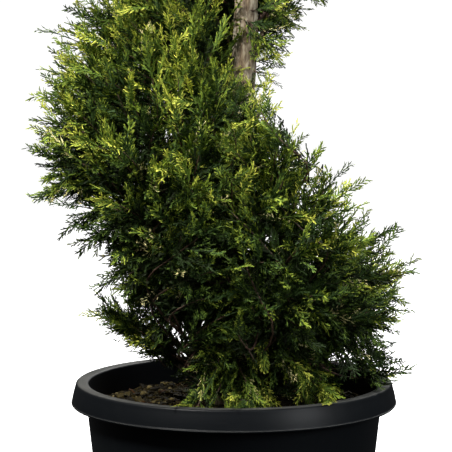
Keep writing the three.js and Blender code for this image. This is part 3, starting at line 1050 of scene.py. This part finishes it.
def grown(rng, plumes, choice, bases, ways, places, normals, sizes, coarse=False, painted_light_lift=0.0):
    """All sprays of one mass, each plume shape turned and placed at once. Plumes that would stand out too far
    are moved in, with their bases. Returns the sprays and the plumes' rotations."""
    heap = Heap()
    painted_light_lift = np.broadcast_to(painted_light_lift, len(bases))
    matrices = turned(ways, rng.normal(0, 1, ways.shape))
    for k, plume in enumerate(plumes):
        mine = np.flatnonzero(choice == k)
        if not len(mine):
            continue
        points = np.einsum("nij,pj->npi", matrices[mine], plume["points"])
        points = points * sizes[mine][:, None, None] + bases[mine][:, None]
        low, high = points.min(1), points.max(1)
        shift = np.maximum(BOX_LOW - BOX_MARGIN - low, 0) - np.maximum(high - BOX_HIGH - BOX_MARGIN, 0)
        points += shift[:, None]
        bases[mine] += shift
        offsets = (np.arange(len(mine)) * len(plume["points"]))[:, None, None]
        triangles = plume["triangles"][None] + offsets
        if coarse:
            # painted shade: the inner sprays get only the deep and dark tones
            slots = (rng.random((len(mine), len(plume["triangles"]))) < 0.3).astype(int)
        else:
            slots = tones_of_triangles(rng, plume, places[mine], normals[mine], painted_light_lift[mine, None])
        heap.add(points.reshape(-1, 3), triangles.reshape(-1, 3), slots.reshape(-1))
    return heap, matrices


def kept_clear(points):
    """Shoots rest on the rim and on the mix, and don't run through them."""
    over_mouth = np.hypot(points[:, 0], points[:, 1]) <= MOUTH_RADIUS
    lowest = np.where(over_mouth, GROUND_Z + OVER_MIX, RIM_Z + OVER_RIM)
    points[:, 2] = np.maximum(points[:, 2], lowest)
    return points


def curve_through(start, knee, end, t):
    """Points of a line that bends once, round its knee."""
    return start * (1 - t) ** 2 + 2 * knee * t * (1 - t) + end * t**2


def boughs_to(rng, bases, ways):
    """Boughs from the trunk to groups of plumes, and a branchlet from them to each. Lines and radii."""
    plumes_per_bough = 11
    count = max(1, len(bases) // plumes_per_bough)
    ends = bases[rng.choice(len(bases), count, replace=False)]
    for _ in range(4):
        nearest = ((bases[:, None] - ends[None]) ** 2).sum(-1).argmin(1)
        groups = [bases[nearest == k] for k in range(count)]
        ends = np.array([group.mean(0) if len(group) else end for group, end in zip(groups, ends)])
    t, s = np.linspace(0, 1, 9)[:, None], np.linspace(0, 1, 6)[:, None]
    bough_lines, bough_radii, twig_lines, twig_radii = [], [], [], []
    for k, end in enumerate(ends):
        flat = math.hypot(*(end[:2] - trunk_centre(end[2])[:2]))
        start = trunk_centre(max(end[2] - 0.75 * flat - 0.03, GROUND_Z + 0.02))
        knee = start * 0.45 + end * 0.55 + np.array([0, 0, -0.18 * flat])
        bough_lines.append(curve_through(start, knee, end, t))
        bough_radii.append((0.005 - 0.0037 * t[:, 0]) * (0.7 + 0.3 * min(1.0, flat / 0.15)))
        for i in np.flatnonzero(nearest == k):
            root = curve_through(start, knee, end, rng.uniform(0.5, 0.95))
            gap = np.linalg.norm(bases[i] - root)
            bend = bases[i] - ways[i] * min(0.045, 0.5 * gap)
            twig_lines.append(curve_through(root, bend, bases[i], s))
            twig_radii.append(0.0018 - 0.0006 * s[:, 0])
    return np.array(bough_lines), np.array(bough_radii), np.array(twig_lines), np.array(twig_radii)


def spread_over(count):
    """Numbers from 0 on, each with three shares from 0 to 1 that fill a space evenly."""
    for k in range(count):
        yield k, (k * 0.618) % 1.0, (k * 0.382) % 1.0, (k * 0.77) % 1.0


def loose_places():
    """Shoots that hang clear of the clipped band: base, direction, size and how much painted light lifts
    their tone.
    """
    foot = trunk_centre(GROUND_Z)
    bough_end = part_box("upper_bough")[1]
    places = []

    def add(base, way, size, painted_lift):
        places.append((np.array(base), np.array(way), size, painted_lift))

    # Off the trunk over the first turn: height over the rim, side and front of the bark, direction, size
    for height, side, front, way, size in (
        (0.505, -0.3, -1.0, (0.8, -0.35, -0.42), 0.62),
        (0.485, 0.1, -1.0, (0.9, -0.3, -0.3), 0.56),
        (0.515, 0.3, -1.0, (0.95, -0.2, -0.1), 0.6),
        (0.435, 0.8, -0.5, (0.5, -0.4, -0.45), 0.36),
        (0.445, 0.8, -0.5, (0.85, -0.35, 0.0), 0.42),
        (0.46, 0.3, -0.9, (0.7, -0.6, 0.15), 0.4),
        (0.475, 0.9, 0.1, (0.9, -0.1, 0.2), 0.48),
        (0.49, 0.8, 0.4, (0.85, 0.2, 0.4), 0.48),
    ):
        centre, radius = trunk_at(np.array([RIM_Z + height]))
        add(centre[0] + np.array([side, front, 0.0]) * radius[0] * 0.8, way, size, 0.3)
    # Along the upper bough
    for k in range(9):
        base = (bough_end.x - 0.05 + 0.006 * k, bough_end.y - 0.012, bough_end.z - 0.092 + 0.01 * k)
        add(base, (0.8, -0.35 + 0.25 * (k % 3), 0.35 - 0.17 * (k % 4)), 0.46, 0.0)
    # Round the trunk's foot
    for k in range(11):
        turn = 2.4 * k + 0.4
        ring = np.array([0.03 * math.cos(turn), 0.03 * math.sin(turn), 0.012 + 0.004 * k])
        add(foot + ring, (math.cos(turn), math.sin(turn), 0.35), 0.6, 0.6)
    # Hanging in front, over the mix and the rim
    for k, along, aside, above in spread_over(22):
        side = -0.05 + 0.18 * along
        base = (side * 0.85, -0.09 - 0.05 * aside, RIM_Z + 0.03 + 0.085 * above)
        add(base, (1.6 * side, -0.6, -0.5 - 0.2 * (k % 3)), 0.85, 0.6 + 1.0 * (k % 2))
    # Along the band's lower edge on the left, and under it
    for k, along, _, above in spread_over(34):
        base = (-0.035 - 0.06 * along, -0.03 + 0.05 * above, RIM_Z + 0.1 + 0.13 * along)
        add(base, (-0.9, -0.35 + 0.25 * (k % 3), 0.1 - 0.22 * (k % 4)), 0.72, 0.35)
    for k, along, aside, _ in spread_over(22):
        base = (-0.072 - 0.035 * along, -0.05 + 0.085 * aside, RIM_Z + 0.125 + 0.055 * along)
        add(base, (-0.85, -0.4 + 0.5 * aside, -0.55 + 0.2 * (k % 3)), 0.6, 0.45)
    # Out over the rim, low on the right
    for k in range(5):
        base = (0.166 - 0.005 * k, -0.06 + 0.026 * k, RIM_Z + 0.014 + 0.006 * (k % 3))
        add(base, (1.0, -0.2 + 0.09 * k, 0.06 * (k % 2)), 0.62, 0.45)
    return places


def add_inner_sprays(rng, heap, inner, bases, ways, places, normals, scales):
    """Two layers of coarse sprays behind the plumes, dark with painted shade, but for the corner that one can
    see through.
    """
    dense = np.flatnonzero(~in_open_corner(places, 0.015))
    if not len(dense):
        return
    ways, places, normals, scales = ways[dense], places[dense], normals[dense], scales[dense]
    for back in (-0.006, 0.032):
        start = bases[dense] - ways * back * scales[:, None]
        spread = unit(ways + rng.normal(0, 0.3, ways.shape))
        pick = rng.integers(0, len(inner), len(dense))
        behind, _ = grown(rng, inner, pick, start, spread, places, normals, scales * 0.6, coarse=True)
        heap.add(*behind.joined())


def with_crown(bases, ways, places, normals, scales):
    """The tip's plumes, and one more that stands upright on the trunk's end."""
    base = trunk_centre(TIP_Z - 0.105)
    bases = np.concatenate([bases, [base]])
    places = np.concatenate([places, [base + [0.0, 0.0, 0.1]]])
    ways, normals = (np.concatenate([a, [[0.03, 0.02, 1.0]]]) for a in (ways, normals))
    return bases, ways, places, normals, np.append(scales, 0.76)


def build_foliage(settings):
    """Every mass becomes plumes of sprays on branchlets, with inner sprays behind them, dark with painted
    shade.
    """
    rng = np.random.default_rng(20)
    plumes = [grow_plume(rng, settings) for _ in range(settings.templates)]
    plumes += [grow_plume(rng, settings, sprig=True) for _ in range(settings.sprigs)]
    inner = [grow_plume(rng, settings, coarse=True) for _ in range(6)]
    materials = green_materials(settings)
    twigs, boughs = Heap(), Heap()
    tree = all_outer_faces()
    for node in MASS_NODES:
        found = plume_places(rng, node, settings, tree)
        bases, ways, places, normals, scales = with_crown(*found) if node == "foliage_tip" else found
        choice, sizes = shapes_for(rng, settings, scales)
        heap, matrices = grown(rng, plumes, choice, bases, ways, places, normals, sizes)
        add_inner_sprays(rng, heap, inner, bases, ways, places, normals, scales)
        hand_over(sprays_object(node + "_sprays", heap, materials), "foliage", node)
        add_twigs(rng, plumes, choice, matrices, bases, ways, sizes, twigs, boughs)
    # the loose sprays, with painted light lifting their tone
    bases, ways, scales, painted_light_lift = (np.array(part) for part in zip(*loose_places()))
    ways = unit(ways)
    normals = unit(ways * [1, 1, 0] - [0, 0, 0.2])
    choice, sizes = shapes_for(rng, settings, scales)
    heap, matrices = grown(rng, plumes, choice, bases, ways, bases.copy(), normals, sizes, painted_light_lift=painted_light_lift)
    hand_over(sprays_object("loose_sprays", heap, materials), "foliage")
    add_twigs(rng, plumes, choice, matrices, bases, ways, sizes, twigs, boughs)
    for name, heap in (("branchlets", twigs), ("inner_boughs", boughs)):
        points, triangles, slots = heap.joined()
        piece = triangle_object(name, kept_clear(points), triangles, slots, smooth=True)
        material = bpy.data.materials.get("young_twigs") or twig_material(bpy.context.scene.topiary_bark)
        piece.data.materials.append(material)
        hand_over(piece, "bark")


def sprays_object(name, heap, materials):
    points, triangles, slots = heap.joined()
    piece = triangle_object(name, kept_clear(points), triangles, slots)
    for material in materials:
        piece.data.materials.append(material)
    return piece


def add_twigs(rng, plumes, choice, matrices, bases, ways, sizes, twigs, boughs):
    """The leaders of a mass's plumes, and the branchlets and boughs that carry them."""
    leaders = np.array([plumes[c]["leader"] for c in choice]) * sizes[:, None, None]
    lines = np.einsum("nij,npj->npi", matrices, leaders) + bases[:, None]
    radii = np.tile(np.linspace(0.0014, 0.0007, lines.shape[1]), (len(lines), 1))
    twigs.add(*tubes(lines, radii, 3))
    centre, radius = trunk_at(bases[:, 2])
    far = np.linalg.norm(bases - centre, axis=1) > radius + BARE_TRUNK
    if far.any():
        bough_lines, bough_radii, twig_lines, twig_radii = boughs_to(rng, bases[far], ways[far])
        twigs.add(*tubes(twig_lines, twig_radii, 3))
        boughs.add(*tubes(bough_lines, bough_radii, 6))


# ---------------------------------------------------------------- stage


# Each light's name, place, size, power and colour
LIGHTS = (
    ("key_light", (-1.9, -1.9, 3.6), 0.9, 240.0, (1.0, 0.98, 0.94)),
    ("top_light", (0.5, -0.1, 4.0), 1.4, 265.0, (1.0, 1.0, 1.0)),
    ("fill_light", (2.6, -2.2, 1.6), 1.6, 72.0, (0.97, 0.99, 1.0)),
    ("back_light", (1.0, 3.0, 2.6), 2.0, 60.0, (1.0, 1.0, 1.0)),
)
LIT_POINT = Vector((0.0, 0.0, 0.9))


def build_camera(settings):
    camera = bpy.data.objects.new("camera", bpy.data.cameras.new("camera"))
    camera.data.lens = settings.lens
    camera.data.sensor_width = 36.0
    camera.data.clip_end = 100.0
    camera.location = (settings.aim_side, -settings.distance, settings.height)
    aim = Vector((settings.aim_side, 0.0, settings.aim_height))
    camera.rotation_euler = (aim - camera.location).to_track_quat("-Z", "Y").to_euler()
    bpy.context.scene.collection.objects.link(camera)
    bpy.context.scene.camera = camera


def build_lights():
    for name, place, size, power, colour in LIGHTS:
        light = bpy.data.lights.new(name, "AREA")
        light.shape = "DISK"
        light.size = size
        light.energy = power
        light.color = colour
        lamp = bpy.data.objects.new(name, light)
        lamp.location = place
        lamp.rotation_euler = (LIT_POINT - Vector(place)).to_track_quat("-Z", "Y").to_euler()
        bpy.context.scene.collection.objects.link(lamp)


def build_world():
    """Light from all round that is brighter overhead; the background itself shows plain white."""
    world = bpy.data.worlds.new("studio")
    bpy.context.scene.world = world
    world.use_nodes = True
    tree = world.node_tree
    tree.nodes.clear()
    place = output_of(tree, "ShaderNodeTexCoord", "Generated")
    upward = output_of(tree, "ShaderNodeSeparateXYZ", "Z", {0: place})
    height = output_of(tree, "ShaderNodeMapRange", "Result", {"Value": upward, "From Min": -1.0})
    sky = ramp_of(tree, height, (0.0, 0.012), (0.5, 0.045), (0.74, 0.13), (1.0, 0.85))
    soft = output_of(tree, "ShaderNodeBackground", 0, {"Color": sky, "Strength": 1.0})
    white = output_of(tree, "ShaderNodeBackground", 0, {"Color": (1.0, 1.0, 1.0, 1.0), "Strength": 1.1})
    seen = output_of(tree, "ShaderNodeLightPath", "Is Camera Ray")
    both = output_of(tree, "ShaderNodeMixShader", 0, {0: seen, 1: soft, 2: white})
    feed(tree, tree.nodes.new("ShaderNodeOutputWorld"), {"Surface": both})


def build_floor(colour):
    """A wide, pale disc just under the pot."""
    sides, radius = 96, 12
    angle = np.linspace(0, 2 * math.pi, sides, endpoint=False)
    ring = np.stack([radius * np.cos(angle), radius * np.sin(angle), 0 * angle], -1)
    around = np.arange(sides)
    triangles = np.stack([around, (around + 1) % sides, np.full(sides, sides)], -1)
    floor = triangle_object("floor", np.concatenate([ring, [[0.0, 0.0, 0.0]]]), triangles)
    material, tree, shader = new_material("pale_floor")
    looks = {
        "Base Color": (*colour, 1.0),
        "Roughness": 0.9,
        "Specular IOR Level": 0.1,
        "Emission Color": (1.0, 1.0, 1.0, 1.0),
        "Emission Strength": 0.62,
    }
    feed(tree, shader, looks)
    floor.data.materials.append(material)
    floor.location.z = POT_LOW.z - 0.0005
    floor.visible_diffuse = False
    floor.visible_glossy = False


def build_stage(settings):
    bpy.context.scene.view_settings.view_transform = "Standard"
    build_camera(settings)
    build_world()
    build_lights()
    build_floor(settings.floor)


# ---------------------------------------------------------------- operators


class TOPIARY_OT_stage(bpy.types.Operator):
    """Set up the camera, the soft lights and the pale floor"""

    bl_idname = "topiary.stage"
    bl_label = "Build stage"

    def execute(self, context):
        build_stage(context.scene.topiary_stage)
        return {"FINISHED"}


class TOPIARY_OT_pot(bpy.types.Operator):
    """Build the moulded nursery pot"""

    bl_idname = "topiary.pot"
    bl_label = "Build pot"

    def execute(self, context):
        build_pot(context.scene.topiary_pot)
        return {"FINISHED"}


class TOPIARY_OT_potting_mix(bpy.types.Operator):
    """Build the potting mix with its bark chips and stones"""

    bl_idname = "topiary.potting_mix"
    bl_label = "Build potting mix"

    def execute(self, context):
        build_potting_mix(context.scene.topiary_mix)
        return {"FINISHED"}


class TOPIARY_OT_trunk(bpy.types.Operator):
    """Build the trunk with its stringy bark"""

    bl_idname = "topiary.trunk"
    bl_label = "Build trunk"

    def execute(self, context):
        build_trunk(context.scene.topiary_bark)
        return {"FINISHED"}


class TOPIARY_OT_boughs(bpy.types.Operator):
    """Build the boughs that show outside the foliage"""

    bl_idname = "topiary.boughs"
    bl_label = "Build boughs"

    def execute(self, context):
        build_boughs(context.scene.topiary_bark)
        return {"FINISHED"}


class TOPIARY_OT_foliage(bpy.types.Operator):
    """Grow boughs, branchlets and sprays in place of each green mass"""

    bl_idname = "topiary.foliage"
    bl_label = "Grow foliage"

    def execute(self, context):
        build_foliage(context.scene.topiary_foliage)
        return {"FINISHED"}


class TOPIARY_PT_panel(bpy.types.Panel):
    """Lists the topiary's operators and settings"""

    bl_idname = "TOPIARY_PT_panel"
    bl_label = "Spiral topiary"
    bl_space_type = "VIEW_3D"
    bl_region_type = "UI"
    bl_category = "Topiary"

    def draw(self, context):
        for operator, settings in STEPS:
            box = self.layout.box()
            box.operator(operator.bl_idname)
            group = getattr(context.scene, settings)
            for name in group.__annotations__:
                box.prop(group, name)


STEPS = (
    (TOPIARY_OT_stage, "topiary_stage"),
    (TOPIARY_OT_pot, "topiary_pot"),
    (TOPIARY_OT_potting_mix, "topiary_mix"),
    (TOPIARY_OT_trunk, "topiary_bark"),
    (TOPIARY_OT_boughs, "topiary_bark"),
    (TOPIARY_OT_foliage, "topiary_foliage"),
)
GROUPS = {
    "topiary_stage": StageSettings,
    "topiary_pot": PotSettings,
    "topiary_mix": MixSettings,
    "topiary_bark": BarkSettings,
    "topiary_foliage": FoliageSettings,
}


def register():
    for name, group in GROUPS.items():
        bpy.utils.register_class(group)
        setattr(bpy.types.Scene, name, PointerProperty(type=group))
    for operator, _ in STEPS:
        bpy.utils.register_class(operator)
    bpy.utils.register_class(TOPIARY_PT_panel)


def unregister():
    bpy.utils.unregister_class(TOPIARY_PT_panel)
    for operator, _ in reversed(STEPS):
        bpy.utils.unregister_class(operator)
    for name, group in reversed(GROUPS.items()):
        delattr(bpy.types.Scene, name)
        bpy.utils.unregister_class(group)


def main():
    register()
    bpy.ops.topiary.stage()
    bpy.ops.topiary.pot()
    bpy.ops.topiary.potting_mix()
    bpy.ops.topiary.trunk()
    bpy.ops.topiary.boughs()
    bpy.ops.topiary.foliage()


if __name__ == "__main__":
    main()
